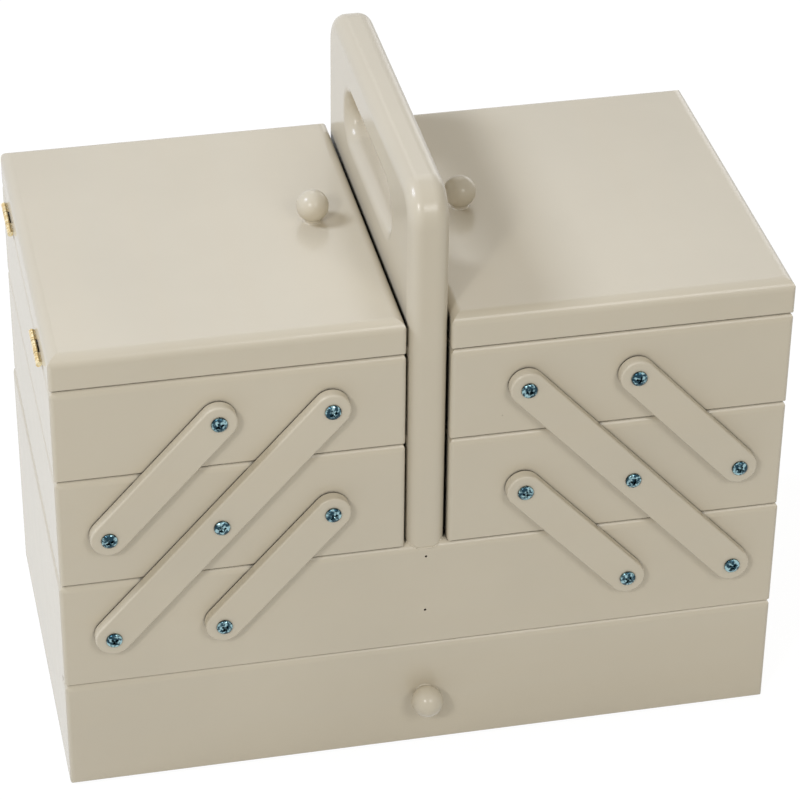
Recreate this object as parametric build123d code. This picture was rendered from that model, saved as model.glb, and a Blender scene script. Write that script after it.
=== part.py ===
from build123d import *
import math
import os

# A painted wooden sewing box. A base box stands over a full-width drawer, and a
# handle board rises from its middle. On each side of the board, two trays and a
# lid stack up, and wooden arms swing the trays out and down like stairs.
# X runs to the right, Y to the back and Z up. The origin is the middle of the
# underside. All sizes are millimetres.

# Case
CASE_WIDTH = 440.0
CASE_DEPTH = 244.5
CASE_WALL = 12.0
DRAWER_ZONE = 77.0
BASE_HEIGHT = 73.5
BASE_FLOOR_RAISE = 3.0
BASE_FLOOR_THICKNESS = 6.0
BOTTOM_PANEL_THICKNESS = 6.0
GROOVE_DEPTH = 5.0

# Rounding of the boards
TOP_ROUND = 5.5
CORNER_ROUND = 2.75
FOOT_ROUND = 1.0

# Trays
LOWER_TRAY_HEIGHT = 74.3
UPPER_TRAY_HEIGHT = 62.2
TRAY_SIDE_INSET = 0.8
TRAY_WALL = 10.0
TRAY_FLOOR_RAISE = 4.0
TRAY_FLOOR_THICKNESS = 4.0
TRAY_GROOVE_DEPTH = 4.0

# Lids
LID_THICKNESS = 22.0
LID_ROUND = 7.0

# Handle board
HANDLE_THICKNESS = 24.0
HANDLE_TOP = 391.0
HANDLE_CORNER_ROUND = 23.0
HANDLE_EDGE_ROUND = 8.5
HANDLE_END_INSET = 0.6
HANDLE_TRAY_GAP = 1.2
GRIP_LENGTH = 130.0
GRIP_HEIGHT = 28.0
GRIP_DROP = 45.0
GRIP_ROUND = 8.0
BRAD_RADIUS = 0.8
BRAD_LENGTH = 30.0
BRAD_SUNK = 1.5
BRAD_HEIGHTS = (24.5, 64.5)

# Drawer
DRAWER_GROUND_GAP = 1.0
DRAWER_TOP_GAP = 0.4
DRAWER_SIDE_WALL = 10.0
DRAWER_SIDE_CLEARANCE = 1.0
DRAWER_RUN_CLEARANCE = 0.3
DRAWER_WALL_HEIGHT = 64.0
DRAWER_BACK_CLEARANCE = 3.0
DRAWER_FLOOR_RAISE = 3.0
DRAWER_FLOOR_THICKNESS = 4.0

# Swing arms
ARM_WIDTH = 22.0
ARM_THICKNESS = 7.5
ARM_STANDOFF = 0.5
ARM_EDGE_ROUND = 1.2
PIVOT_INSET = 30.0
PIVOT_HEIGHT = 36.5
PIVOT_PITCH = 66.0
PIVOT_RISE = 72.5
PIVOT_CLEARANCE = 0.08
OPEN_PIVOT_CLEARANCE = 0.3

# Pan head screws of the arms
SCREW_HEAD_RADIUS = 4.8
SCREW_HEAD_HEIGHT = 2.8
SCREW_HEAD_EDGE = 1.2
SCREW_HEAD_CLEARANCE = 0.2
SCREW_SHANK_RADIUS = 2.2
SCREW_BITE = 8.5
CROSS_LENGTH = 5.4
CROSS_WIDTH = 1.1
CROSS_DEPTH = 1.8

# Ball knobs
KNOB_RADIUS = 9.75
KNOB_STANDOFF = 10.3
KNOB_NECK_RADIUS = 5.0
DOWEL_RADIUS = 3.0
DOWEL_LENGTH = 9.5
LID_KNOB_X = 45.0

# Butt hinges of the lids
HINGE_LENGTH = 36.0
HINGE_CENTRE_Y = 74.0
HINGE_AXIS_OFFSET = 1.9
BARREL_RADIUS = 1.7
PIN_RADIUS = 0.8
PIN_CLEARANCE = 0.05
KNUCKLE_GAP = 0.4
MIDDLE_KNUCKLE = 13.0
LEAF_THICKNESS = 1.2
LEAF_WIDTH = 8.4
BARREL_CLEARANCE = 0.3
HINGE_SCREW_RADIUS = 1.1
HINGE_SCREW_HEAD_RADIUS = 2.3
HINGE_SCREW_LENGTH = 9.0
HINGE_SCREW_SPACING = 22.0
HINGE_SCREW_EDGE = 3.3
HINGE_SCREW_SUNK = 0.1
HINGE_SCREW_SLOT = 0.6

# Levels and faces that follow from the sizes above
FRONT_Y = -CASE_DEPTH / 2
BACK_Y = CASE_DEPTH / 2
BASE_TOP = DRAWER_ZONE + BASE_HEIGHT
LOWER_TRAY_TOP = BASE_TOP + LOWER_TRAY_HEIGHT
UPPER_TRAY_TOP = LOWER_TRAY_TOP + UPPER_TRAY_HEIGHT
LID_TOP = UPPER_TRAY_TOP + LID_THICKNESS
GRIP_CENTRE_Z = HANDLE_TOP - GRIP_DROP
TRAY_INNER_X = HANDLE_THICKNESS / 2 + HANDLE_TRAY_GAP
TRAY_OUTER_X = CASE_WIDTH / 2 - TRAY_SIDE_INSET
HINGE_AXIS_X = TRAY_OUTER_X + HINGE_AXIS_OFFSET
BASE_FLOOR_BOTTOM = DRAWER_ZONE + BASE_FLOOR_RAISE
BASE_FLOOR_TOP = BASE_FLOOR_BOTTOM + BASE_FLOOR_THICKNESS
ARM_FACE = ARM_STANDOFF + ARM_THICKNESS
SCREW_LENGTH = SCREW_BITE + ARM_FACE + SCREW_HEAD_CLEARANCE

LEFT = -1
RIGHT = 1
FRONT = -1
BACK = 1


def block(x_range, y_range, z_range):
    """Plain box between the two ends of each range."""
    low = [min(r) for r in (x_range, y_range, z_range)]
    size = [max(r) - min(r) for r in (x_range, y_range, z_range)]
    corner = (Align.MIN, Align.MIN, Align.MIN)
    return Pos(*low) * Box(*size, align=corner)


def rounded_block(x_range, y_range, z_range, top_round):
    """Box with rounded top edges, upright corners and slightly eased bottom edges."""
    centre = [(r[0] + r[1]) / 2 for r in (x_range, y_range, z_range)]
    width, depth, height = [abs(r[1] - r[0]) for r in (x_range, y_range, z_range)]

    def gable(span):
        outline = Rectangle(span, height)
        bottom = outline.vertices().group_by(Axis.Y)[0]
        outline = fillet(bottom, FOOT_ROUND)
        top = outline.vertices().group_by(Axis.Y)[-1]
        return fillet(top, top_round)

    along_y = Pos(*centre) * extrude(Plane.XZ * gable(width), depth / 2, both=True)
    along_x = Pos(*centre) * extrude(Plane.YZ * gable(depth), width / 2, both=True)
    plan = fillet(Rectangle(width, depth).vertices(), CORNER_ROUND)
    upright = Pos(*centre) * extrude(plan, height / 2, both=True)
    return along_y & along_x & upright


def y_cylinder(x, z, radius, y_range):
    """Cylinder along Y between the two ends of the range."""
    start = Plane(origin=(x, min(y_range), z), z_dir=(0, 1, 0))
    return extrude(start * Circle(radius), abs(y_range[1] - y_range[0]))


def pivot(side, column, row):
    """Place (x, z) of an arm pivot. Column 0 is outermost and row 0 is on the base."""
    x = CASE_WIDTH / 2 - PIVOT_INSET - column * PIVOT_PITCH
    z = DRAWER_ZONE + PIVOT_HEIGHT + row * PIVOT_RISE
    return side * x, z


BASE_PIVOTS = ((0, 0), (1, 0))
LOWER_TRAY_PIVOTS = ((0, 1), (1, 1), (2, 1))
UPPER_TRAY_PIVOTS = ((1, 2), (2, 2))


def pan_screw(x, z, face):
    """Cross-head screw through an arm into the front or back wall."""
    dome = SCREW_HEAD_HEIGHT - SCREW_HEAD_EDGE
    crown_radius = (SCREW_HEAD_RADIUS**2 + dome**2) / (2 * dome)
    crown = Pos(0, 0, SCREW_HEAD_HEIGHT - crown_radius) * Sphere(crown_radius)
    solid = extrude(Circle(SCREW_HEAD_RADIUS), SCREW_HEAD_HEIGHT) & crown
    solid += Pos(0, 0, -SCREW_LENGTH / 2) * Cylinder(SCREW_SHANK_RADIUS, SCREW_LENGTH)
    slot_z = SCREW_HEAD_HEIGHT - CROSS_DEPTH / 2
    for turn in (20, 110):
        solid -= Rot(0, 0, turn) * Pos(0, 0, slot_z) * Box(CROSS_LENGTH, CROSS_WIDTH, CROSS_DEPTH)
    seat_y = face * (BACK_Y + ARM_FACE + SCREW_HEAD_CLEARANCE)
    return Plane(origin=(x, seat_y, z), x_dir=(1, 0, 0), z_dir=(0, face, 0)) * solid


def pivot_screws(sides, places):
    """Screws at these pivots of the given sides, at the front and at the back."""
    screws = []
    for side in sides:
        for column, row in places:
            x, z = pivot(side, column, row)
            screws += [pan_screw(x, z, FRONT), pan_screw(x, z, BACK)]
    return screws


def screw_holes(sides, places):
    """Shank holes in the front and back walls for the screws of these pivots."""
    reach = (BACK_Y - SCREW_BITE, BACK_Y + ARM_FACE)
    holes = []
    for side in sides:
        for column, row in places:
            x, z = pivot(side, column, row)
            for face in (FRONT, BACK):
                span = (face * reach[0], face * reach[1])
                holes.append(y_cylinder(x, z, SCREW_SHANK_RADIUS, span))
    return holes


def arm(side, face, first, last, open_end=False):
    """Wooden arm from its first pivot to its last one, drilled at every pivot."""
    start_x, start_z = pivot(side, *first)
    end_x, end_z = pivot(side, *last)
    length = math.hypot(end_x - start_x, end_z - start_z)
    slat = extrude(SlotCenterToCenter(length, ARM_WIDTH), ARM_THICKNESS)
    slat = fillet(slat.faces().filter_by(Axis.Z).edges(), ARM_EDGE_ROUND)
    spans = last[1] - first[1]
    for step in range(spans + 1):
        gap = OPEN_PIVOT_CLEARANCE if open_end and step == spans else PIVOT_CLEARANCE
        place = Pos(-length / 2 + step * length / spans, 0, ARM_THICKNESS / 2)
        slat -= place * Cylinder(SCREW_SHANK_RADIUS + gap, 2 * ARM_THICKNESS)
    middle = ((start_x + end_x) / 2, face * (BACK_Y + ARM_STANDOFF), (start_z + end_z) / 2)
    along = (end_x - start_x, 0, end_z - start_z)
    return Plane(origin=middle, x_dir=along, z_dir=(0, face, 0)) * slat


def arm_pair(side, first, last, open_end=False):
    """The same arm at the front and at the back."""
    return [arm(side, face, first, last, open_end) for face in (FRONT, BACK)]


def ball_knob():
    """Ball knob on +Z with its neck, and a dowel that goes into the board below."""
    ball = Pos(0, 0, KNOB_STANDOFF) * Sphere(KNOB_RADIUS)
    neck = Pos(0, 0, KNOB_STANDOFF / 2) * Cylinder(KNOB_NECK_RADIUS, KNOB_STANDOFF)
    return ball + neck + dowel()


def dowel():
    """Dowel of a knob, below the face that the knob stands on."""
    return Pos(0, 0, -DOWEL_LENGTH / 2) * Cylinder(DOWEL_RADIUS, DOWEL_LENGTH)


def walls(x_range, z_range, shell, wall, y_room):
    """Cut the four walls out of a rounded shell: two full ends and two sides."""
    x_low, x_high = sorted(x_range)
    front_y, back_y = y_room
    ends = (
        shell & block((x_low, x_high), (FRONT_Y, front_y), z_range),
        shell & block((x_low, x_high), (back_y, BACK_Y), z_range),
    )
    sides = (
        shell & block((x_low, x_low + wall), y_room, z_range),
        shell & block((x_high - wall, x_high), y_room, z_range),
    )
    return ends, sides


def floor_panel(x_range, y_range, bottom, thickness, let_in):
    """Floor that is let into the grooves of the walls around this room."""
    x_low, x_high = sorted(x_range)
    y_low, y_high = y_range
    return block(
        (x_low - let_in, x_high + let_in),
        (y_low - let_in, y_high + let_in),
        (bottom, bottom + thickness),
    )


def build_carcass():
    """Base box, drawer housing and handle board, which are glued together."""
    half = CASE_WIDTH / 2
    y_room = (FRONT_Y + CASE_WALL, BACK_Y - CASE_WALL)
    x_room = (-half + CASE_WALL, half - CASE_WALL)
    z_range = (0, BASE_TOP)
    shell = rounded_block((-half, half), (FRONT_Y, BACK_Y), z_range, TOP_ROUND)
    ends, sides = walls((-half, half), z_range, shell, CASE_WALL, y_room)
    base_front = ends[0] & block((-half, half), (FRONT_Y, BACK_Y), (DRAWER_ZONE, BASE_TOP))
    base_floor = floor_panel(
        x_room, y_room, BASE_FLOOR_BOTTOM, BASE_FLOOR_THICKNESS, GROOVE_DEPTH
    )
    bottom_panel = block(
        (x_room[0] - GROOVE_DEPTH, x_room[1] + GROOVE_DEPTH),
        (y_room[0], y_room[1] + GROOVE_DEPTH),
        (0, BOTTOM_PANEL_THICKNESS),
    )
    handle = handle_board(y_room, base_front, ends[1])
    brads = brad_cylinders(BRAD_SUNK)
    brad_holes = brad_cylinders(0)
    holes = screw_holes((LEFT, RIGHT), BASE_PIVOTS)
    return {
        "base_front": base_front - base_floor - holes - brad_holes,
        "case_back": ends[1] - base_floor - bottom_panel - holes - brad_holes,
        "case_side_left": sides[0] - base_floor - bottom_panel,
        "case_side_right": sides[1] - base_floor - bottom_panel,
        "base_floor": base_floor,
        "bottom_panel": bottom_panel,
        "handle_board": handle - brads,
        "handle_brads": brads,
        "base_arm_screws": pivot_screws((LEFT, RIGHT), BASE_PIVOTS),
    }


def handle_board(y_room, base_front, case_back):
    """Board with a grip, standing on both rims, and a tongue that divides the base."""
    half = HANDLE_THICKNESS / 2
    y_low = FRONT_Y + HANDLE_END_INSET
    y_high = BACK_Y - HANDLE_END_INSET
    foot = BASE_TOP - TOP_ROUND
    outline = Pos(0, (foot + HANDLE_TOP) / 2) * Rectangle(y_high - y_low, HANDLE_TOP - foot)
    outline = fillet(outline.vertices().group_by(Axis.Y)[-1], HANDLE_CORNER_ROUND)
    plate = extrude(Plane.YZ * outline, half, both=True)
    rim = plate.edges().filter_by(lambda edge: edge.center().Z > foot + 1)
    faces = plate.faces().filter_by(Axis.X)
    plate = fillet([edge for edge in faces.edges() if edge in rim], HANDLE_EDGE_ROUND)
    grip = Pos(0, GRIP_CENTRE_Z) * SlotOverall(GRIP_LENGTH, GRIP_HEIGHT)
    plate -= extrude(Plane.YZ * grip, half, both=True)
    near_grip = [
        edge
        for edge in plate.faces().filter_by(Axis.X).edges()
        if abs(edge.center().Z - GRIP_CENTRE_Z) <= GRIP_HEIGHT / 2 + 0.01
        and abs(edge.center().Y) <= GRIP_LENGTH / 2 + 0.01
    ]
    plate = fillet(near_grip, GRIP_ROUND)
    tongue = block((-half, half), y_room, (BASE_FLOOR_TOP, BASE_TOP))
    return plate - base_front - case_back + tongue


def brad_cylinders(sunk):
    """Brads, or their holes, from this far under the outer faces into the handle's tongue."""
    cylinders = []
    for height in BRAD_HEIGHTS:
        for face in (FRONT, BACK):
            outer = face * (BACK_Y - sunk)
            inner = face * (BACK_Y - BRAD_SUNK - BRAD_LENGTH)
            cylinders.append(y_cylinder(0, DRAWER_ZONE + height, BRAD_RADIUS, (inner, outer)))
    return cylinders


def build_tray(side, name, z_range, places):
    """Open tray: four walls, its floor in their grooves and its arm screws."""
    x_range = sorted((side * TRAY_INNER_X, side * TRAY_OUTER_X))
    y_room = (FRONT_Y + TRAY_WALL, BACK_Y - TRAY_WALL)
    x_room = (x_range[0] + TRAY_WALL, x_range[1] - TRAY_WALL)
    shell = rounded_block(x_range, (FRONT_Y, BACK_Y), z_range, TOP_ROUND)
    ends, sides = walls(x_range, z_range, shell, TRAY_WALL, y_room)
    floor_bottom = z_range[0] + TRAY_FLOOR_RAISE
    floor = floor_panel(x_room, y_room, floor_bottom, TRAY_FLOOR_THICKNESS, TRAY_GROOVE_DEPTH)
    holes = screw_holes((side,), places)
    inner, outer = sides if side == RIGHT else sides[::-1]
    return {
        f"{name}_front": ends[0] - floor - holes,
        f"{name}_back": ends[1] - floor - holes,
        f"{name}_inner_side": inner - floor,
        f"{name}_outer_side": outer - floor,
        f"{name}_floor": floor,
        f"{name}_arm_screws": pivot_screws((side,), places),
    }


def hinge_plane(side, y):
    """Frame of one hinge: X points into the box, Y along the pin and Z up or down."""
    origin = (side * HINGE_AXIS_X, y, UPPER_TRAY_TOP)
    return Plane(origin=origin, x_dir=(-side, 0, 0), z_dir=(0, 0, 1))


def knuckle_spans(outer):
    """Ends along the pin of the outer knuckles, or of the middle one."""
    half = HINGE_LENGTH / 2
    inner = MIDDLE_KNUCKLE / 2
    if outer:
        return [(-half, -inner - KNUCKLE_GAP), (inner + KNUCKLE_GAP, half)]
    return [(-inner, inner)]


def hinge_leaf(up, outer):
    """Leaf with its knuckles around the pin axis, lying just above or below it."""
    inner_edge = BARREL_RADIUS + BARREL_CLEARANCE
    level = (0, up * LEAF_THICKNESS)
    half = HINGE_LENGTH / 2
    leaf = block((inner_edge, inner_edge + LEAF_WIDTH), (-half, half), level)
    for span in knuckle_spans(outer):
        leaf += block((0, inner_edge), span, level)
        leaf += y_cylinder(0, 0, BARREL_RADIUS, span)
    bore = PIN_RADIUS + PIN_CLEARANCE if outer else PIN_RADIUS
    leaf -= y_cylinder(0, 0, bore, (-half, half))
    return leaf - [hinge_screw(up, y) for y in hinge_screw_places()]


def hinge_screw_places():
    """Places along the leaf of its two screws."""
    return (-HINGE_SCREW_SPACING / 2, HINGE_SCREW_SPACING / 2)


def hinge_screw(up, y):
    """Countersunk screw through a leaf, pointing up into the lid or down into the wall."""
    x = BARREL_RADIUS + BARREL_CLEARANCE + LEAF_WIDTH - HINGE_SCREW_EDGE
    rise = HINGE_SCREW_HEAD_RADIUS - HINGE_SCREW_RADIUS
    head = Cone(HINGE_SCREW_HEAD_RADIUS, HINGE_SCREW_RADIUS, rise)
    shank = Pos(0, 0, HINGE_SCREW_LENGTH / 2) * Cylinder(HINGE_SCREW_RADIUS, HINGE_SCREW_LENGTH)
    screw = Pos(0, 0, rise / 2) * head + shank
    if up < 0:
        screw = Rot(180, 0, 0) * screw
    return Pos(x, y, up * HINGE_SCREW_SUNK) * screw


def slotted(screw, up, y):
    """The same screw with a driver slot across its head."""
    x = BARREL_RADIUS + BARREL_CLEARANCE + LEAF_WIDTH - HINGE_SCREW_EDGE
    width = 3 * HINGE_SCREW_HEAD_RADIUS
    slot = Box(width, HINGE_SCREW_SLOT, HINGE_SCREW_SLOT)
    return screw - Pos(x, y, up * HINGE_SCREW_SUNK) * slot


def hinge_mortise(up):
    """Room that a hinge takes out of the lid or of the wall under it."""
    inner_edge = BARREL_RADIUS + BARREL_CLEARANCE
    half = HINGE_LENGTH / 2
    length = (-half - BARREL_CLEARANCE, half + BARREL_CLEARANCE)
    room = block((0, inner_edge + LEAF_WIDTH), (-half, half), (0, up * LEAF_THICKNESS))
    room += block((0, inner_edge), length, (0, up * LEAF_THICKNESS))
    room += y_cylinder(0, 0, inner_edge, length)
    return room + [hinge_screw(up, y) for y in hinge_screw_places()]


def both_hinges(side, make):
    """The same piece at the front hinge and at the back hinge of one lid."""
    return [hinge_plane(side, y) * make() for y in (-HINGE_CENTRE_Y, HINGE_CENTRE_Y)]


def hinge_screws(side, up):
    """The screws of the two leaves that lie above or below the pin axis."""
    screws = []
    for y in hinge_screw_places():
        screws += both_hinges(side, lambda: slotted(hinge_screw(up, y), up, y))
    return screws


def hinge_pin():
    """Pin of one hinge, as long as its barrel."""
    half = HINGE_LENGTH / 2
    return y_cylinder(0, 0, PIN_RADIUS, (-half, half))


def build_lid(side, name):
    """Solid lid with its knob, its hinge leaves and their screws."""
    x_range = sorted((side * TRAY_INNER_X, side * TRAY_OUTER_X))
    slab = rounded_block(x_range, (FRONT_Y, BACK_Y), (UPPER_TRAY_TOP, LID_TOP), LID_ROUND)
    knob_place = Pos(side * LID_KNOB_X, 0, LID_TOP)
    slab -= both_hinges(side, lambda: hinge_mortise(1))
    return {
        f"{name}_lid": slab - knob_place * dowel(),
        f"{name}_lid_knob": knob_place * ball_knob(),
        f"{name}_lid_hinge_leaves": both_hinges(side, lambda: hinge_leaf(1, True)),
        f"{name}_lid_hinge_screws": hinge_screws(side, 1),
    }


def build_stack(side, name):
    """Both trays, the lid and the arms of one side."""
    lower_range = (BASE_TOP, LOWER_TRAY_TOP)
    upper_range = (LOWER_TRAY_TOP, UPPER_TRAY_TOP)
    parts = build_tray(side, f"{name}_lower_tray", lower_range, LOWER_TRAY_PIVOTS)
    parts |= build_tray(side, f"{name}_upper_tray", upper_range, UPPER_TRAY_PIVOTS)
    parts[f"{name}_upper_tray_outer_side"] -= both_hinges(side, lambda: hinge_mortise(-1))
    parts[f"{name}_tray_hinge_leaves"] = both_hinges(side, lambda: hinge_leaf(-1, False))
    parts[f"{name}_tray_hinge_screws"] = hinge_screws(side, -1)
    parts[f"{name}_hinge_pins"] = both_hinges(side, hinge_pin)
    parts |= build_lid(side, name)
    parts[f"{name}_long_arms"] = arm_pair(side, (0, 0), (2, 2))
    parts[f"{name}_lower_short_arms"] = arm_pair(side, (1, 0), (2, 1), open_end=True)
    parts[f"{name}_upper_short_arms"] = arm_pair(side, (0, 1), (1, 2), open_end=True)
    return parts


def build_drawer():
    """Drawer box behind an overlaid front, running on the bottom panel."""
    half = CASE_WIDTH / 2
    front_range = (FRONT_Y, FRONT_Y + CASE_WALL)
    z_front = (DRAWER_GROUND_GAP, DRAWER_ZONE - DRAWER_TOP_GAP)
    shell = rounded_block((-half, half), (FRONT_Y, BACK_Y), z_front, TOP_ROUND)
    front = shell & block((-half, half), front_range, z_front)
    outer_x = half - CASE_WALL - DRAWER_SIDE_CLEARANCE
    inner_x = outer_x - DRAWER_SIDE_WALL
    back_y = BACK_Y - CASE_WALL - DRAWER_BACK_CLEARANCE
    inner_back_y = back_y - DRAWER_SIDE_WALL
    bottom = BOTTOM_PANEL_THICKNESS + DRAWER_RUN_CLEARANCE
    z_range = (bottom, bottom + DRAWER_WALL_HEIGHT)
    y_room = (front_range[1], inner_back_y)
    floor = floor_panel(
        (-inner_x, inner_x),
        y_room,
        bottom + DRAWER_FLOOR_RAISE,
        DRAWER_FLOOR_THICKNESS,
        GROOVE_DEPTH,
    )
    knob_z = (z_front[0] + z_front[1]) / 2
    knob_frame = Plane(origin=(0, FRONT_Y, knob_z), x_dir=(1, 0, 0), z_dir=(0, -1, 0))
    return {
        "drawer_front": front - floor - knob_frame * dowel(),
        "drawer_back": block((-inner_x, inner_x), (inner_back_y, back_y), z_range) - floor,
        "drawer_side_left": block((-outer_x, -inner_x), (y_room[0], back_y), z_range) - floor,
        "drawer_side_right": block((inner_x, outer_x), (y_room[0], back_y), z_range) - floor,
        "drawer_floor": floor,
        "drawer_knob": knob_frame * ball_knob(),
    }


def write_step(name, piece):
    """Write one node, which is one solid or a group of separate solids."""
    pieces = piece if isinstance(piece, list) else [piece]
    solids = [solid for item in pieces for solid in item.solids()]
    whole = solids[0] if len(solids) == 1 else Compound(children=solids)
    whole.label = name
    export_step(whole, f"parts/{name}.step")


def main():
    os.makedirs("parts", exist_ok=True)
    parts = build_carcass()
    parts |= build_drawer()
    parts |= build_stack(LEFT, "left")
    parts |= build_stack(RIGHT, "right")
    for name, piece in parts.items():
        write_step(name, piece)


main()
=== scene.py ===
"""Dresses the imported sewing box: painted boards, turned knobs, zinc screws and brass hinges."""
import logging
import math
from dataclasses import dataclass, field
from enum import Enum
from typing import Any, Callable

import bmesh
import bpy
from mathutils import Matrix, Vector


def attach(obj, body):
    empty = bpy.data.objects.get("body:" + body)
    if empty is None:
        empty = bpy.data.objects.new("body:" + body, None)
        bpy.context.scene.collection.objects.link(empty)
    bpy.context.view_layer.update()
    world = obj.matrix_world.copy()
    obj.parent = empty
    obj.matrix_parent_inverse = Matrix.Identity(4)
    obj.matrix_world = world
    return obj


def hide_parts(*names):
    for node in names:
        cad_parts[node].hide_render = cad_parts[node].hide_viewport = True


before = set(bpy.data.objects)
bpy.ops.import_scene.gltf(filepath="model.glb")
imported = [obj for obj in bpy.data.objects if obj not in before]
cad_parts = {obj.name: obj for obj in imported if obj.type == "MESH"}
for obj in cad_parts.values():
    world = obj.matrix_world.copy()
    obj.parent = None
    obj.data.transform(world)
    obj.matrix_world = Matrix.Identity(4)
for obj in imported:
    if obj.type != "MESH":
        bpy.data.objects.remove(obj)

log = logging.getLogger("sewing_box")
MM = 0.001
Colour = tuple[float, float, float]


class Along(Enum):
    """Direction of a board's grain."""

    X = 0
    Y = 1
    Z = 2


class Slot(Enum):
    """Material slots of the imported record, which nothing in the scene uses."""

    PAINTED = "painted_wood"
    ZINC = "zinc_steel"


@dataclass(frozen=True)
class BoxSizes:
    """Driving sizes that the scene shares with the solids."""

    width: float = 440.0 * MM
    depth: float = 244.5 * MM
    base_top: float = 150.5 * MM
    lid_top: float = 309.0 * MM
    handle_thickness: float = 24.0 * MM
    handle_setback: float = 0.6 * MM
    arm_standoff: float = 8.2 * MM

    @property
    def front(self) -> float:
        """Distance of the front boards from the middle."""
        return self.depth / 2


BOX = BoxSizes()


def from_srgb(red: float, green: float, blue: float) -> Colour:
    """Turn an 8-bit sRGB colour into linear values.

    Args:
        red: Red from 0 to 255.
        green: Green from 0 to 255.
        blue: Blue from 0 to 255.

    Returns:
        The three linear channel values.
    """
    def linear(value: float) -> float:
        """Linear value of one channel."""
        value /= 255
        return value / 12.92 if value <= 0.04045 else ((value + 0.055) / 1.055) ** 2.4

    return linear(red), linear(green), linear(blue)


def tinted(colour: Colour, factors: Colour) -> Colour:
    """Scale a colour's channels, up to 1.

    Args:
        colour: Linear colour.
        factors: Factor of each channel.

    Returns:
        The scaled colour.
    """
    red, green, blue = (min(1.0, value * by) for value, by in zip(colour, factors))
    return red, green, blue


class Signal:
    """A shader value that takes part in Python arithmetic."""

    def __init__(self, recipe: "Recipe", socket: bpy.types.NodeSocket | None) -> None:
        """Wrap an output socket of the recipe's node tree.

        Args:
            recipe: The recipe that the node belongs to.
            socket: The output, or None for a node that closes the tree.
        """
        self.recipe = recipe
        self.socket = socket

    def maths(self, operation: str, *terms: "Signal | float") -> "Signal":
        """Add a Math node over these terms.

        Args:
            operation: The Math node's operation.
            terms: Its inputs in order.

        Returns:
            The node's value.
        """
        inputs = dict(enumerate(terms))
        return self.recipe.node("ShaderNodeMath", {"operation": operation}, inputs)

    def __add__(self, other: "Signal | float") -> "Signal":
        """Sum."""
        return self.maths("ADD", self, other)

    def __radd__(self, other: float) -> "Signal":
        """Sum with the number first."""
        return self.maths("ADD", other, self)

    def __sub__(self, other: "Signal | float") -> "Signal":
        """Difference."""
        return self.maths("SUBTRACT", self, other)

    def __rsub__(self, other: float) -> "Signal":
        """Difference with the number first."""
        return self.maths("SUBTRACT", other, self)

    def __mul__(self, other: "Signal | float") -> "Signal":
        """Product."""
        return self.maths("MULTIPLY", self, other)

    def __rmul__(self, other: float) -> "Signal":
        """Product with the number first."""
        return self.maths("MULTIPLY", other, self)

    def over(self, start: float, end: float) -> "Signal":
        """Rise smoothly from 0 at start to 1 at end.

        Args:
            start: Value that gives 0.
            end: Value that gives 1.

        Returns:
            The eased mask.
        """
        settings = {"interpolation_type": "SMOOTHSTEP"}
        inputs = {"Value": self, "From Min": start, "From Max": end}
        return self.recipe.node("ShaderNodeMapRange", settings, inputs)


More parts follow.
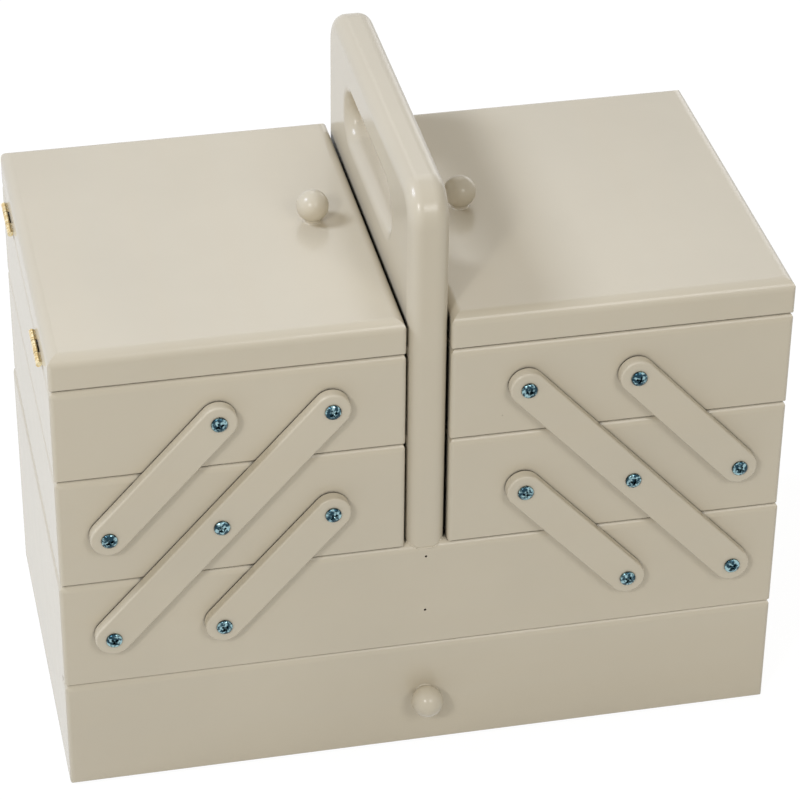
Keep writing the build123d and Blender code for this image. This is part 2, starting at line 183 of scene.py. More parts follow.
class Recipe:
    """One node tree, with a single way to add a node to it."""

    # How far the surface turns where an edge begins to show, and where it shows fully.
    EDGE_TURN = (0.004, 0.12)

    def __init__(self, owner: bpy.types.Material | bpy.types.World) -> None:
        """Start with an empty tree.

        Args:
            owner: The material or the world that the tree belongs to.
        """
        owner.use_nodes = True
        self.owner = owner
        self.tree = owner.node_tree
        self.tree.nodes.clear()

    def node(
        self,
        kind: str,
        settings: dict[str, Any] | None = None,
        inputs: dict[str | int, Any] | None = None,
        output: str | int = 0,
    ) -> Signal:
        """Add a node, set it up and connect it.

        Args:
            kind: The node's type.
            settings: Attributes of the node, which are set first.
            inputs: Values or signals for its sockets, by name or number.
            output: The output socket that is wanted.

        Returns:
            That output as a signal, without a socket if the node has none.
        """
        made = self.tree.nodes.new(kind)
        for key, value in (settings or {}).items():
            setattr(made, key, value)
        for key, value in (inputs or {}).items():
            socket = made.inputs[key]
            if isinstance(value, Signal):
                self.tree.links.new(value.socket, socket)
            elif isinstance(value, tuple) and len(value) == 3 and socket.type == "RGBA":
                socket.default_value = (*value, 1.0)
            else:
                socket.default_value = value
        return Signal(self, made.outputs[output] if made.outputs else None)

    def place(self, scale: tuple[float, float, float] = (1, 1, 1)) -> Signal:
        """Position on the piece in metres, stretched.

        Args:
            scale: Factor along each axis.

        Returns:
            The position as a vector.
        """
        here = self.node("ShaderNodeTexCoord", output="Object")
        return self.node("ShaderNodeMapping", {}, {"Vector": here, "Scale": scale})

    def noise(
        self, where: Signal, scale: float, detail: float = 3, rough: float = 0.5
    ) -> Signal:
        """Soft noise around 0.5.

        Args:
            where: The position.
            scale: Cells per metre.
            detail: Number of finer layers.
            rough: Strength of the finer layers.

        Returns:
            The noise value.
        """
        inputs = {"Vector": where, "Scale": scale, "Detail": detail, "Roughness": rough}
        return self.node("ShaderNodeTexNoise", {}, inputs)

    def blend(self, factor: Signal | float, first: Any, second: Any) -> Signal:
        """Mix two colours.

        Args:
            factor: 0 for the first colour and 1 for the second.
            first: Colour or signal.
            second: Colour or signal.

        Returns:
            The mixed colour.
        """
        settings = {"data_type": "RGBA"}
        inputs = {0: factor, 6: first, 7: second}
        return self.node("ShaderNodeMix", settings, inputs, 2)

    def bump(self, height: Signal, depth: float, onto: Signal | None = None) -> Signal:
        """Relief of a height map.

        Args:
            height: Height from 0 to 1.
            depth: Real depth of the relief in metres.
            onto: Relief that this one lies on.

        Returns:
            The surface normal.
        """
        inputs: dict[str | int, Any] = {
            "Height": height, "Distance": depth, "Strength": 1.0
        }
        if onto is not None:
            inputs["Normal"] = onto
        return self.node("ShaderNodeBump", {}, inputs)

    def near_edge(self, radius: float) -> Signal:
        """Mask that is 1 on outer edges and 0 on open faces.

        Args:
            radius: Reach of the edge in metres.

        Returns:
            The mask.
        """
        rounded = self.node("ShaderNodeBevel", {"samples": 4}, {"Radius": radius})
        plain = self.node("ShaderNodeNewGeometry", output="Normal")
        settings = {"operation": "DOT_PRODUCT"}
        close = self.node("ShaderNodeVectorMath", settings, {0: rounded, 1: plain}, "Value")
        return (1 - close).over(*self.EDGE_TURN)

    def crevice(self, reach: float, opened: float, closed: float = 0.08) -> Signal:
        """Mask that is 1 deep in seams and 0 on open faces.

        Args:
            reach: How far the neighbouring surface may be, in metres.
            opened: Open share of the surroundings from which the mask is 0.
            closed: Open share up to which the mask is 1.

        Returns:
            The mask.
        """
        settings = {"samples": 6, "only_local": False}
        open_share = self.node(
            "ShaderNodeAmbientOcclusion", settings, {"Distance": reach}, "AO"
        )
        return 1 - open_share.over(closed, opened)

    def finish(self, **surface: Any) -> bpy.types.Material:
        """Close a material with its surface shader.

        Args:
            surface: Principled sockets, with underscores for spaces.

        Returns:
            The material.
        """
        inputs = {key.replace("_", " "): value for key, value in surface.items()}
        shader = self.node("ShaderNodeBsdfPrincipled", {}, inputs)
        self.close(shader)
        return self.owner

    def close(self, shader: Signal, kind: str = "ShaderNodeOutputMaterial") -> None:
        """Connect a shader to the output of the tree.

        Args:
            shader: The closing shader.
            kind: Type of the output node.
        """
        self.node(kind, {}, {"Surface": shader})


@dataclass(frozen=True)
class SatinPaint:
    """Sprayed satin paint over smooth wood, with a trace of the grain under it."""

    name: str
    grain: Along
    colour: Colour = from_srgb(207, 198, 179)
    # Paler tone of the edges: partly thinner paint, partly a painted highlight.
    thin_edge_and_highlight_tone: Colour = from_srgb(215, 206, 187)
    speck: Colour = from_srgb(120, 106, 86)
    # Near-black brown that darkens seams, gaps and contact places: painted shade.
    seam_shade: Colour = from_srgb(34, 26, 18)
    roughness: float = 0.23
    roughness_drift: float = 0.04
    ior: float = 1.38
    grain_stretch: float = 0.05
    ring_tint: float = 0.35
    grain_shade: float = 0.1
    edge_reach: float = 1.4 * MM
    thin_edge_and_highlight_share: float = 0.35
    seam_reach: float = 2.8 * MM
    seam_closed: float = 0.3
    seam_open: float = 0.58
    seam_shade_strength: float = 0.96
    grain_depth: float = 0.004 * MM
    flow_depth: float = 0.02 * MM
    peel_depth: float = 0.003 * MM

    def build(self) -> bpy.types.Material:
        """Make the material.

        Returns:
            The finished material.
        """
        recipe = Recipe(bpy.data.materials.new(self.name))
        stretch = [1.0, 1.0, 1.0]
        stretch[self.grain.value] = self.grain_stretch
        along = recipe.place(tuple(stretch))
        free = recipe.place()
        grain = recipe.noise(along, scale=260, detail=5, rough=0.62)
        rings = recipe.noise(along, scale=38, detail=2)
        clouds = recipe.noise(free, scale=7, detail=4, rough=0.55)
        peel = recipe.noise(free, scale=420, detail=1)
        flow = recipe.noise(free, scale=60, detail=2)
        drift = (clouds - 0.5) * self.roughness_drift + (flow - 0.5) * self.roughness_drift
        relief = recipe.bump(grain, self.grain_depth)
        relief = recipe.bump(flow, self.flow_depth, relief)
        relief = recipe.bump(peel, self.peel_depth, relief)
        return recipe.finish(
            Base_Color=self._colour(recipe, free, clouds, rings, grain),
            Roughness=self.roughness + drift,
            Normal=relief,
            IOR=self.ior,
        )

    def _colour(
        self, recipe: Recipe, free: Signal, clouds: Signal, rings: Signal, grain: Signal
    ) -> Signal:
        """Colour of the paint from its film to its paler edges, partly painted highlight, and its
        seams darkened as painted shade.

        Args:
            recipe: The material's recipe.
            free: The position.
            clouds: Wide drift of the film.
            rings: Wide figure of the wood.
            grain: Fine fibres of the wood.

        Returns:
            The colour.
        """
        deep = tinted(self.colour, (0.965, 0.965, 0.965))
        pale = tinted(self.colour, (1.025, 1.025, 1.025))
        warm = tinted(self.colour, (1.0, 0.98, 0.95))
        colour = recipe.blend(clouds.over(0.25, 0.75), deep, pale)
        colour = recipe.blend(rings.over(0.35, 0.75) * self.ring_tint, colour, warm)
        colour = recipe.blend(grain.over(0.55, 0.85) * self.grain_shade, colour, deep)
        # Edges are drawn paler: partly thinner paint there, partly a painted highlight along
        # them.
        edges = recipe.near_edge(self.edge_reach) * self.thin_edge_and_highlight_share
        colour = recipe.blend(edges, colour, self.thin_edge_and_highlight_tone)
        colour = recipe.blend(self._specks(recipe, free), colour, self.speck)
        # Seams, gaps and the wall next to the arms and knobs are darkened nearly to black brown:
        # painted shade where neighbouring parts block the light.
        seams = recipe.crevice(self.seam_reach, self.seam_open, self.seam_closed)
        return recipe.blend(seams * self.seam_shade_strength, colour, self.seam_shade)

    @staticmethod
    def _specks(recipe: Recipe, where: Signal) -> Signal:
        """Rare nibs: airborne specks caught in the paint.

        Args:
            recipe: The material's recipe.
            where: The position.

        Returns:
            The mask of the nibs.
        """
        cells = {"Vector": where, "Scale": 45.0}
        distance = recipe.node("ShaderNodeTexVoronoi", {}, cells, "Distance")
        tone = recipe.node("ShaderNodeTexVoronoi", {}, cells, "Color")
        chance = recipe.node("ShaderNodeSeparateColor", {}, {"Color": tone}, "Red")
        small = 1 - distance.over(0.012, 0.022)
        return small * chance.over(0.93, 0.94) * 0.6


@dataclass(frozen=True)
class BirchPanel:
    """Bare birch plywood of the floors."""

    name: str
    grain: Along = Along.X
    light: Colour = from_srgb(214, 186, 146)
    dark: Colour = from_srgb(176, 140, 98)
    grain_stretch: float = 0.06
    roughness: float = 0.62
    fibre_depth: float = 0.12 * MM

    def build(self) -> bpy.types.Material:
        """Make the material.

        Returns:
            The finished material.
        """
        recipe = Recipe(bpy.data.materials.new(self.name))
        stretch = [1.0, 1.0, 1.0]
        stretch[self.grain.value] = self.grain_stretch
        along = recipe.place(tuple(stretch))
        fibres = recipe.noise(along, scale=520, detail=6, rough=0.65)
        figure = recipe.noise(along, scale=24, rough=0.55)
        flecks = recipe.noise(along, scale=150, detail=2, rough=0.6)
        clouds = recipe.noise(recipe.place(), scale=9)
        pale = tinted(self.light, (1.12, 1.12, 1.12))
        brown = tinted(self.dark, (0.62, 0.62, 0.62))
        colour = recipe.blend(figure.over(0.3, 0.7), self.light, self.dark)
        colour = recipe.blend(clouds.over(0.35, 0.75) * 0.5, colour, pale)
        colour = recipe.blend(flecks.over(0.62, 0.78) * 0.45, colour, brown)
        colour = recipe.blend(fibres.over(0.5, 0.8) * 0.35, colour, self.dark)
        return recipe.finish(
            Base_Color=colour,
            Roughness=self.roughness + (fibres - 0.5) * 0.3,
            Normal=recipe.bump(fibres, self.fibre_depth),
        )


@dataclass(frozen=True)
class PlatedMetal:
    """Thin metal finish with stains, pits, fine scratches and painted shade darkening its
    hollows.
    """

    name: str
    bright: Colour
    stained: Colour
    # Colour of the pits, and of the painted shade in hollows and gaps.
    dark: Colour
    roughness: float
    pitting: float
    recess_reach: float = 2.5 * MM
    recess_open: float = 0.85
    pit_depth: float = 0.012 * MM
    scratch_depth: float = 0.008 * MM

    def build(self) -> bpy.types.Material:
        """Make the material.

        Returns:
            The finished material.
        """
        recipe = Recipe(bpy.data.materials.new(self.name))
        free = recipe.place()
        clouds = recipe.noise(free, scale=420, rough=0.6)
        fine = recipe.noise(free, scale=4200, detail=2)
        scratch = recipe.noise(recipe.place((1, 1, 0.04)), scale=5200, detail=2, rough=0.6)
        colour = recipe.blend(clouds.over(0.4, 0.54), self.bright, self.stained)
        colour = recipe.blend(fine.over(0.52, 0.72) * self.pitting, colour, self.dark)
        # Hollows and gaps between parts take the dark colour: painted shade.
        recess_shade = recipe.crevice(self.recess_reach, self.recess_open)
        colour = recipe.blend(recess_shade, colour, self.dark)
        relief = recipe.bump(fine, self.pit_depth)
        return recipe.finish(
            Base_Color=colour,
            Metallic=1.0,
            Roughness=self.roughness + (clouds - 0.5) * 0.2 + (scratch - 0.5) * 0.12,
            Normal=recipe.bump(scratch, self.scratch_depth, relief),
        )


class Finishes:
    """The finishes of the box, each made once."""

    def __init__(self) -> None:
        """Make all materials."""
        self.paint = {
            along: SatinPaint(f"satin_paint_{along.name.lower()}", along).build()
            for along in Along
        }
        self.panel = BirchPanel("birch_panel").build()
        self.zinc = PlatedMetal(
            name="bright_zinc",
            bright=from_srgb(160, 194, 200),
            stained=from_srgb(40, 66, 78),
            dark=from_srgb(6, 12, 16),
            roughness=0.14,
            pitting=0.5,
        ).build()
        self.brass = PlatedMetal(
            name="aged_brass",
            bright=from_srgb(250, 236, 196),
            stained=from_srgb(226, 200, 146),
            dark=from_srgb(60, 42, 20),
            roughness=0.2,
            pitting=0.1,
        ).build()
        # Brad heads: oxidised steel, darkened further as a painted shade of the holes they are
        # sunk in.
        self.brad = PlatedMetal(
            name="dull_brad",
            bright=from_srgb(58, 48, 38),
            stained=from_srgb(34, 27, 20),
            dark=from_srgb(12, 10, 8),
            roughness=0.6,
            pitting=0.4,
        ).build()


# Faces that meet at a sharper turn than this keep a crisp edge between them.
SHARP_TURN = math.radians(38)


def lathe(profile: list[tuple[float, float]], segments: int) -> bmesh.types.BMesh:
    """Turn a profile around +Z.

    Args:
        profile: Radius and height of each point, from top to bottom.
        segments: Number of steps around.

    Returns:
        The turned mesh, closed where the radius is zero.
    """
    mesh = bmesh.new()
    rings = []
    for radius, height in profile:
        if radius == 0:
            rings.append([mesh.verts.new((0, 0, height))])
            continue
        ring = []
        for step in range(segments):
            turn = 2 * math.pi * step / segments
            spot = (radius * math.cos(turn), radius * math.sin(turn), height)
            ring.append(mesh.verts.new(spot))
        rings.append(ring)
    for upper, lower in zip(rings, rings[1:]):
        for step in range(segments):
            after = (step + 1) % segments
            corners = [upper[step % len(upper)], lower[step % len(lower)]]
            corners += [lower[after % len(lower)], upper[after % len(upper)]]
            mesh.faces.new(list(dict.fromkeys(corners)))
    return mesh


def to_piece(
    mesh: bmesh.types.BMesh, name: str, material: bpy.types.Material
) -> bpy.types.Object:
    """Make a smooth object of a mesh.

    Args:
        mesh: The built mesh, which is freed.
        name: Name of the piece.
        material: Its finish.

    Returns:
        The object in the scene.
    """
    bmesh.ops.recalc_face_normals(mesh, faces=mesh.faces)
    data = bpy.data.meshes.new(name)
    mesh.to_mesh(data)
    mesh.free()
    data.shade_smooth()
    data.set_sharp_from_angle(angle=SHARP_TURN)
    data.materials.append(material)
    piece = bpy.data.objects.new(name, data)
    bpy.context.scene.collection.objects.link(piece)
    return piece


def dress(node: str, material: bpy.types.Material) -> None:
    """Give a node of the frame its finish.

    Args:
        node: Name of the node.
        material: The finish.
    """
    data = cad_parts[node].data
    data.materials.clear()
    data.materials.append(material)
    log.info("dressed %s in %s", node, material.name)


def axes(origin: Vector, along: Vector, turn: float = 0.0) -> Matrix:
    """Placement whose Z axis points along a direction.

    Args:
        origin: Where it stands.
        along: Direction of its Z axis.
        turn: Turn about that axis in radians.

    Returns:
        The placement.
    """
    rotation = along.to_track_quat("Z", "Y").to_matrix().to_4x4()
    return Matrix.Translation(origin) @ rotation @ Matrix.Rotation(turn, 4, "Z")


@dataclass
class TurnedKnob:
    """Ball knob, turned in one piece with its neck and painted with the box."""

    name: str
    node: str
    body: str
    seat: Vector
    along: Vector
    radius: float = 9.75 * MM
    standoff: float = 10.3 * MM
    neck: float = 5.0 * MM
    bead: float = 0.9 * MM
    segments: int = 72
    ball_steps: int = 40
    bead_steps: int = 5

    def profile(self) -> list[tuple[float, float]]:
        """Outline from the crown to the board, with paint pooled at its foot.

        Returns:
            Radius and height of each point.
        """
        points = [(0.0, self.standoff + self.radius)]
        lowest = math.acos(-math.sqrt(1 - (self.neck / self.radius) ** 2))
        for step in range(1, self.ball_steps + 1):
            angle = lowest * step / self.ball_steps
            points.append((
                self.radius * math.sin(angle),
                self.standoff + self.radius * math.cos(angle),
            ))
        points.append((self.neck, self.bead))
        for step in range(1, self.bead_steps + 1):
            angle = math.pi / 2 * step / self.bead_steps
            points.append((
                self.neck + self.bead * (1 - math.cos(angle)),
                self.bead * (1 - math.sin(angle)),
            ))
        points.append((0.0, 0.0))
        return points

    def build(self, finishes: Finishes) -> bpy.types.Object:
        """Build the knob in place of its node.

        Args:
            finishes: The finishes of the box.

        Returns:
            The knob.
        """
        mesh = lathe(self.profile(), self.segments)
        bmesh.ops.transform(mesh, matrix=axes(self.seat, self.along), verts=mesh.verts)
        piece = to_piece(mesh, self.name, finishes.paint[Along.Z])
        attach(piece, self.body)
        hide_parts(self.node)
        log.info("turned %s", self.name)
        return piece


@dataclass
class PanScrew:
    """Pan head of an arm screw, with a tapered cross recess and a rolled rim."""

    radius: float = 4.8 * MM
    height: float = 2.8 * MM
    edge: float = 1.2 * MM
    roll: float = 0.35 * MM
    lip_inset: float = 0.08 * MM
    lip_drop: float = 0.05 * MM
    foot: float = 0.25 * MM
    wing: float = 2.75 * MM
    web: float = 0.62 * MM
    web_least: float = 0.45
    inner_corner: float = 1.35
    depth: float = 1.9 * MM
    overcut: float = 0.3 * MM
    throat: float = 0.5 * MM
    throat_share: float = 0.86
    bottom_share: float = 0.42
    soft_edge: float = 0.09 * MM
    soft_turn: float = math.radians(32)
    segments: int = 48
    dome_steps: int = 12

    def head(self) -> bmesh.types.BMesh:
        """Head without its recess, standing on its seat.

        Returns:
            The turned head.
        """
        dome = self.height - self.edge
        crown = (self.radius**2 + dome**2) / (2 * dome)
        reach = math.asin((self.radius - self.roll) / crown)
        points = [(0.0, self.height)]
        for step in range(1, self.dome_steps + 1):
            angle = reach * step / self.dome_steps
            drop = crown * (1 - math.cos(angle))
            points.append((crown * math.sin(angle), self.height - drop))
        points += [
            (self.radius - self.lip_inset, self.edge - self.lip_drop),
            (self.radius, self.edge - self.roll),
            (self.radius, self.foot),
            (self.radius - self.foot, 0.0),
            (0.0, 0.0),
        ]
        return lathe(points, self.segments)

    def cross(self) -> bmesh.types.BMesh:
        """Tapered cross that the driver's recess takes out of the head.

        Returns:
            The closed cutter.
        """
        mesh = bmesh.new()
        levels = (
            (self.height + self.overcut, 1.0),
            (self.height - self.throat, self.throat_share),
            (self.height - self.depth, self.bottom_share),
        )
        rings = [self._cross_ring(mesh, level, share) for level, share in levels]
        count = len(rings[0])
        for upper, lower in zip(rings, rings[1:]):
            for step in range(count):
                after = (step + 1) % count
                mesh.faces.new((upper[step], lower[step], lower[after], upper[after]))
        mesh.faces.new(rings[0])
        mesh.faces.new(list(reversed(rings[-1])))
        bmesh.ops.recalc_face_normals(mesh, faces=mesh.faces)
        return mesh

    def _cross_ring(
        self, mesh: bmesh.types.BMesh, level: float, share: float
    ) -> list[bmesh.types.BMVert]:
        """Outline of the cross at one level.

        Args:
            mesh: The mesh that gets its points.
            level: Height above the seat.
            share: Share of the wings' full reach.

        Returns:
            The points in order.
        """
        wing = self.wing * share
        web = self.web * (self.web_least + (1 - self.web_least) * share)
        inner = web * self.inner_corner
        ring = []
        for quarter in range(4):
            turn = Matrix.Rotation(math.pi / 2 * quarter, 3, "Z")
            for x, y in ((wing, -web), (wing, web), (inner, inner)):
                ring.append(mesh.verts.new(turn @ Vector((x, y, level))))
        return ring

    def mesh(self, material: bpy.types.Material) -> bpy.types.Mesh:
        """Cut the recess out of the head.

        Args:
            material: The screw's finish.

        Returns:
            The mesh of one head.
        """
        head = to_piece(self.head(), "screw_head_blank", material)
        cutter = to_piece(self.cross(), "driver_recess", material)
        cut = head.modifiers.new("recess", "BOOLEAN")
        cut.operation = "DIFFERENCE"
        cut.solver = "EXACT"
        cut.object = cutter
        rim = head.modifiers.new("soft_edges", "BEVEL")
        rim.width = self.soft_edge
        rim.segments = 2
        rim.limit_method = "ANGLE"
        rim.angle_limit = self.soft_turn
        seen = head.evaluated_get(bpy.context.evaluated_depsgraph_get())
        result = bpy.data.meshes.new_from_object(seen)
        for spent in (head, cutter):
            bpy.data.objects.remove(spent)
        result.shade_smooth()
        result.set_sharp_from_angle(angle=SHARP_TURN)
        return result


@dataclass
class ArmScrews:
    """Screws of one body's arm pivots, at the front and at the back."""

    node: str
    body: str
    places: list[tuple[float, float]]
    seat: float
    shank: float = 2.2 * MM
    shank_length: float = 8.0 * MM
    shank_segments: int = 32
    turn_step: float = math.radians(137.5)

    def build(self, head: bpy.types.Mesh, finishes: Finishes) -> bpy.types.Object:
        """Build the group of screws in place of its node.

        Args:
            head: Mesh of one head.
            finishes: The finishes of the box.

        Returns:
            The group of screws.
        """
        mesh = bmesh.new()
        # The name's length starts the turns, so that left and right don't mirror.
        number = len(self.node)
        for x, z in self.places:
            for face in (-1, 1):
                number += 1
                turn = number * self.turn_step
                place = axes(Vector((x, face * self.seat, z)), Vector((0, face, 0)), turn)
                part = bmesh.new()
                part.from_mesh(head)
                bmesh.ops.transform(part, matrix=place, verts=part.verts)
                self._add(mesh, part)
                stem = self._stem()
                bmesh.ops.transform(stem, matrix=place, verts=stem.verts)
                self._add(mesh, stem)
        piece = to_piece(mesh, f"{self.node}_set", finishes.zinc)
        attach(piece, self.body)
        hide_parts(self.node)
        log.info("set %d screws of %s", 2 * len(self.places), self.node)
        return piece

    def _stem(self) -> bmesh.types.BMesh:
        """Shank of one screw, below its seat.

        Returns:
            The turned shank.
        """
        end = -self.shank_length
        outline = [(0.0, 0.0), (self.shank, 0.0), (self.shank, end), (0.0, end)]
        return lathe(outline, self.shank_segments)

    @staticmethod
    def _add(whole: bmesh.types.BMesh, part: bmesh.types.BMesh) -> None:
        """Add a part to the whole mesh.

        Args:
            whole: The mesh that grows.
            part: The mesh that is added and freed.
        """
        carrier = bpy.data.meshes.new("part")
        part.to_mesh(carrier)
        part.free()
        whole.from_mesh(carrier)
        bpy.data.meshes.remove(carrier)


@dataclass
class Case:
    """Base box with its drawer housing and the handle board."""

    boards: dict[str, Along] = field(default_factory=lambda: {
        "base_front": Along.X,
        "case_back": Along.X,
        "case_side_left": Along.Y,
        "case_side_right": Along.Y,
        "handle_board": Along.Y,
    })
    panels: tuple[str, ...] = ("base_floor", "bottom_panel")

    def build(self, finishes: Finishes) -> None:
        """Dress the boards and panels.

        Args:
            finishes: The finishes of the box.
        """
        for node, along in self.boards.items():
            dress(node, finishes.paint[along])
        for node in self.panels:
            dress(node, finishes.panel)
        dress("handle_brads", finishes.brad)


@dataclass
class FootBead:
    """Fine bead of paint that ran down the handle board and set at its foot."""

    body: str = "base"
    half_width: float = BOX.handle_thickness / 2
    corner: float = 8.5 * MM
    front: float = BOX.front - BOX.handle_setback
    rim_front: float = BOX.front
    rim_top: float = BOX.base_top
    rim_round: float = 5.5 * MM
    thickness: float = 0.75 * MM
    steps: int = 56
    sides: int = 10

    def line(self, face: int) -> list[Vector]:
        """Line where the board's rounded end meets the rim of the base.

        Args:
            face: -1 at the front and 1 at the back.

        Returns:
            Points from one side of the board to the other.
        """
        points = []
        for step in range(self.steps + 1):
            angle = math.pi * step / self.steps
            x = math.copysign(self.half_width - self.corner, math.cos(angle))
            x += self.corner * math.cos(angle)
            y = self.front - self.corner * (1 - math.sin(angle))
            into = max(0.0, self.rim_round - (self.rim_front - y))
            drop = self.rim_round - math.sqrt(self.rim_round**2 - into**2)
            points.append(Vector((x, face * y, self.rim_top - drop)))
        return points

    def swell(self, step: int) -> float:
        """Share of the full thickness at a step, as the paint ran and set.

        Args:
            step: Number of the point along the line.

        Returns:
            The share, which falls off towards both ends.
        """
        # Two waves that don't keep step give uneven runs of paint.
        runs = 0.75 + 0.35 * math.sin(2.3 * step) * math.sin(0.7 * step + 1)
        taper = math.sin(math.pi * (step + 0.6) / (self.steps + 1.2)) ** 0.3
        return runs * taper

    def mesh(self, face: int) -> bmesh.types.BMesh:
        """Sweep the bead along its line.

        Args:
            face: -1 at the front and 1 at the back.

        Returns:
            The closed bead.
        """
        mesh = bmesh.new()
        rings = []
        points = self.line(face)
        for step, point in enumerate(points):
            before = points[max(0, step - 1)]
            after = points[min(self.steps, step + 1)]
            place = axes(point, after - before)
            radius = self.thickness * self.swell(step)
            ring = []
            for side in range(self.sides):
                turn = 2 * math.pi * side / self.sides
                offset = Vector((math.cos(turn), math.sin(turn), 0))
                ring.append(mesh.verts.new(place @ (offset * radius)))
            rings.append(ring)
        for near, far in zip(rings, rings[1:]):
            for side in range(self.sides):
                after = (side + 1) % self.sides
                mesh.faces.new((near[side], near[after], far[after], far[side]))
        mesh.faces.new(rings[0])
        mesh.faces.new(list(reversed(rings[-1])))
        return mesh

    def build(self, finishes: Finishes) -> None:
        """Build the bead at the front and at the back.

        Args:
            finishes: The finishes of the box.
        """
        for face, name in ((-1, "front"), (1, "back")):
            piece = to_piece(
                self.mesh(face), f"handle_foot_bead_{name}", finishes.paint[Along.Z]
            )
            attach(piece, self.body)
            log.info("ran %s", piece.name)


@dataclass
class Drawer:
    """Drawer under the base box."""

    body: str = "drawer"
    knob_height: float = 38.8 * MM
    front: float = BOX.front

    def build(self, finishes: Finishes) -> None:
        """Dress the drawer and turn its knob.

        Args:
            finishes: The finishes of the box.
        """
        dress("drawer_front", finishes.paint[Along.X])
        dress("drawer_back", finishes.paint[Along.X])
        dress("drawer_side_left", finishes.paint[Along.Y])
        dress("drawer_side_right", finishes.paint[Along.Y])
        dress("drawer_floor", finishes.panel)
        seat = Vector((0, -self.front, self.knob_height))
        TurnedKnob(
            name="turned_drawer_knob",
            node="drawer_knob",
            body=self.body,
            seat=seat,
            along=Vector((0, -1, 0)),
        ).build(finishes)


@dataclass
class Stack:
    """Two trays, the lid, its hinges and the swing arms of one side."""

    side: str
    sign: int
    knob_x: float = 45.0 * MM
    lid_top: float = BOX.lid_top

    def build(self, finishes: Finishes) -> None:
        """Dress the stack and turn the lid's knob.

        Args:
            finishes: The finishes of the box.
        """
        for tray in ("lower_tray", "upper_tray"):
            stem = f"{self.side}_{tray}"
            dress(f"{stem}_front", finishes.paint[Along.X])
            dress(f"{stem}_back", finishes.paint[Along.X])
            dress(f"{stem}_inner_side", finishes.paint[Along.Y])
            dress(f"{stem}_outer_side", finishes.paint[Along.Y])
            dress(f"{stem}_floor", finishes.panel)
        dress(f"{self.side}_lid", finishes.paint[Along.Y])
        for arms in ("long_arms", "lower_short_arms", "upper_short_arms"):
            dress(f"{self.side}_{arms}", finishes.paint[Along.X])
        for part in (
            "tray_hinge_leaves", "tray_hinge_screws", "hinge_pins",
            "lid_hinge_leaves", "lid_hinge_screws",
        ):
            dress(f"{self.side}_{part}", finishes.brass)
        seat = Vector((self.sign * self.knob_x, 0, self.lid_top))
        TurnedKnob(
            name=f"turned_{self.side}_lid_knob",
            node=f"{self.side}_lid_knob",
            body=f"{self.side}_lid",
            seat=seat,
            along=Vector((0, 0, 1)),
        ).build(finishes)


@dataclass
class ScrewSets:
    """All arm screws of the box, by the pivots that they sit on."""

    case_half: float = BOX.width / 2
    inset: float = 30.0 * MM
    height: float = 113.5 * MM
    pitch: float = 66.0 * MM
    rise: float = 72.5 * MM
    seat: float = BOX.front + BOX.arm_standoff

    def pivot(self, sign: int, column: int, row: int) -> tuple[float, float]:
        """Place of a pivot.

        Args:
            sign: -1 on the left and 1 on the right.
            column: Number of the column, from the outermost.
            row: Number of the row, from the base.

        Returns:
            Its x and z.
        """
        x = self.case_half - self.inset - column * self.pitch
        return sign * x, self.height + row * self.rise

    def build(self, finishes: Finishes) -> None:
        """Build every group of screws.

        Args:
            finishes: The finishes of the box.
        """
        head = PanScrew().mesh(finishes.zinc)
        base = [self.pivot(sign, column, 0) for sign in (-1, 1) for column in (0, 1)]
        ArmScrews("base_arm_screws", "base", base, self.seat).build(head, finishes)
        for side, sign in (("left", -1), ("right", 1)):
            lower = [self.pivot(sign, column, 1) for column in (0, 1, 2)]
            upper = [self.pivot(sign, column, 2) for column in (1, 2)]
            for tray, places in (("lower_tray", lower), ("upper_tray", upper)):
                ArmScrews(
                    f"{side}_{tray}_arm_screws", f"{side}_{tray}", places, self.seat
                ).build(head, finishes)


@dataclass
class Softbox:
    """Square studio lamp that points at the box."""

    name: str
    place: tuple[float, float, float]
    size: float
    watts: float
    tint: Colour = (1.0, 1.0, 1.0)
    target: tuple[float, float, float] = (0.0, 0.0, 0.2)

    def build(self) -> None:
        """Add the lamp."""
        lamp = bpy.data.lights.new(self.name, "AREA")
        lamp.shape = "SQUARE"
        lamp.size = self.size
        lamp.energy = self.watts
        lamp.color = self.tint
        holder = bpy.data.objects.new(self.name, lamp)
        away = Vector(self.place) - Vector(self.target)
        holder.matrix_world = axes(Vector(self.place), away)
        bpy.context.scene.collection.objects.link(holder)


def seen_rays(recipe: Recipe) -> tuple[Signal, Signal]:
    """Masks of the rays that show the white surroundings.

    Args:
        recipe: The recipe that uses them.

    Returns:
        The camera's own rays, and those with the rays through gloss and glass.
    """
    kinds = ("Is Camera Ray", "Is Glossy Ray", "Is Transmission Ray")
    direct, glossy, through = (
        recipe.node("ShaderNodeLightPath", output=kind) for kind in kinds
    )
    return direct, direct + glossy + through


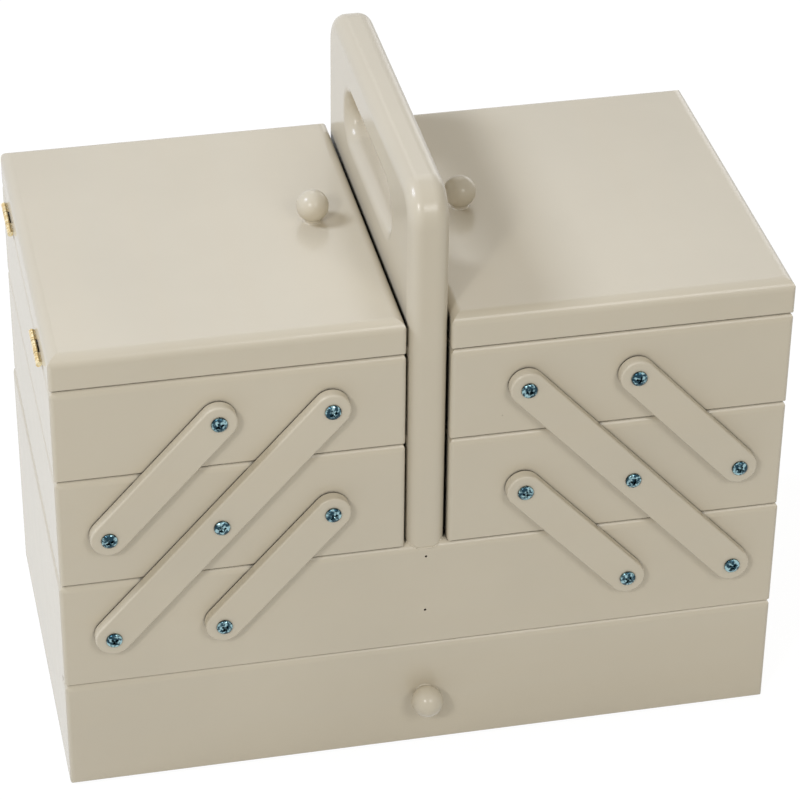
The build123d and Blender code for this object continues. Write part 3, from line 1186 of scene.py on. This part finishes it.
@dataclass
class Studio:
    """Camera, lamps, floor and surroundings."""

    azimuth: float = 12.317
    elevation: float = 33.615
    roll: float = 0.627
    camera_place: tuple[float, float, float] = (-0.35104, -1.65210, 1.29712)
    lens: float = 146.34
    sensor: float = 36.0
    sight: float = 50.0
    floor_half: float = 4.0
    floor_drop: float = 0.2 * MM
    floor_darker: Colour = from_srgb(206, 206, 204)
    floor_lighter: Colour = from_srgb(212, 212, 210)
    floor_seen: Colour = from_srgb(252, 252, 252)
    shadow_share: float = 0.12
    floor_glow: float = 1.06
    lamps: tuple[Softbox, ...] = (
        Softbox("key", (-1.55, -2.50, 2.20), 1.2, 17.0),
        Softbox("spark", (-1.62, -2.42, 2.20), 0.26, 17.0),
        Softbox("back", (0.45, 2.20, 2.50), 1.5, 10.0),
        Softbox("rim", (1.90, 2.20, 0.90), 1.4, 9.0),
        Softbox("left", (-2.40, 0.30, 2.90), 1.0, 67.0, (0.75, 0.83, 1.0)),
        Softbox("fill", (0.90, -2.85, 2.20), 1.0, 22.0),
    )
    sky: float = 0.32
    sky_tint: Colour = (1.0, 0.95, 0.84)

    def build(self) -> None:
        """Set up the studio."""
        self._camera()
        for lamp in self.lamps:
            lamp.build()
        self._floor()
        self._surroundings()
        bpy.context.scene.view_settings.view_transform = "Standard"

    def _camera(self) -> None:
        """Add the camera where the photograph was taken."""
        angles = (self.azimuth, self.elevation, self.roll)
        turn, rise, tilt = (math.radians(angle) for angle in angles)
        level = math.cos(rise)
        forward = Vector((math.sin(turn) * level, math.cos(turn) * level, -math.sin(rise)))
        right = Vector((math.cos(turn), -math.sin(turn), 0))
        up = right.cross(forward)
        right_rolled = math.cos(tilt) * right + math.sin(tilt) * up
        up_rolled = math.cos(tilt) * up - math.sin(tilt) * right
        rotation = Matrix((right_rolled, up_rolled, -forward)).transposed().to_4x4()
        data = bpy.data.cameras.new("camera")
        data.sensor_width = self.sensor
        data.lens = self.lens
        data.clip_end = self.sight
        camera = bpy.data.objects.new("camera", data)
        camera.matrix_world = Matrix.Translation(self.camera_place) @ rotation
        bpy.context.scene.collection.objects.link(camera)
        bpy.context.scene.camera = camera

    def _floor(self) -> None:
        """Add the pale floor, which shows as white and keeps a soft shadow."""
        mesh = bmesh.new()
        half = self.floor_half
        corners = [(-half, -half), (half, -half), (half, half), (-half, half)]
        mesh.faces.new([mesh.verts.new((x, y, -self.floor_drop)) for x, y in corners])
        recipe = Recipe(bpy.data.materials.new("studio_floor"))
        mottle = recipe.noise(recipe.place(), scale=3)
        direct, seen = seen_rays(recipe)
        pale = recipe.blend(mottle, self.floor_darker, self.floor_lighter)
        tone = recipe.blend(direct, pale, self.floor_seen)
        matte = recipe.node("ShaderNodeBsdfDiffuse", {}, {"Color": tone})
        light = {"Color": (1.0, 1.0, 1.0), "Strength": self.floor_glow}
        glow = recipe.node("ShaderNodeEmission", {}, light)
        share = seen * (1 - self.shadow_share)
        recipe.close(recipe.node("ShaderNodeMixShader", {}, {0: share, 1: matte, 2: glow}))
        to_piece(mesh, "studio_floor", recipe.owner)

    def _surroundings(self) -> None:
        """Light softly from all sides, and show white behind the box."""
        world = bpy.data.worlds.new("surroundings")
        bpy.context.scene.world = world
        recipe = Recipe(world)
        seen = seen_rays(recipe)[1]
        strength = self.sky + seen * (1 - self.sky)
        tint = recipe.blend(seen, self.sky_tint, (1.0, 1.0, 1.0))
        light = {"Color": tint, "Strength": strength}
        glow = recipe.node("ShaderNodeBackground", {}, light)
        recipe.close(glow, "ShaderNodeOutputWorld")


def main() -> None:
    """Build and dress everything in order."""
    logging.basicConfig(level=logging.INFO, format="%(message)s")
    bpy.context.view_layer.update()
    finishes = Finishes()
    builders: list[Callable[[Finishes], Any]] = [
        Case().build,
        FootBead().build,
        Drawer().build,
        Stack("left", -1).build,
        Stack("right", 1).build,
        ScrewSets().build,
    ]
    for build in builders:
        build(finishes)
    Studio().build()
    bpy.context.view_layer.update()


if __name__ == "__main__":
    main()
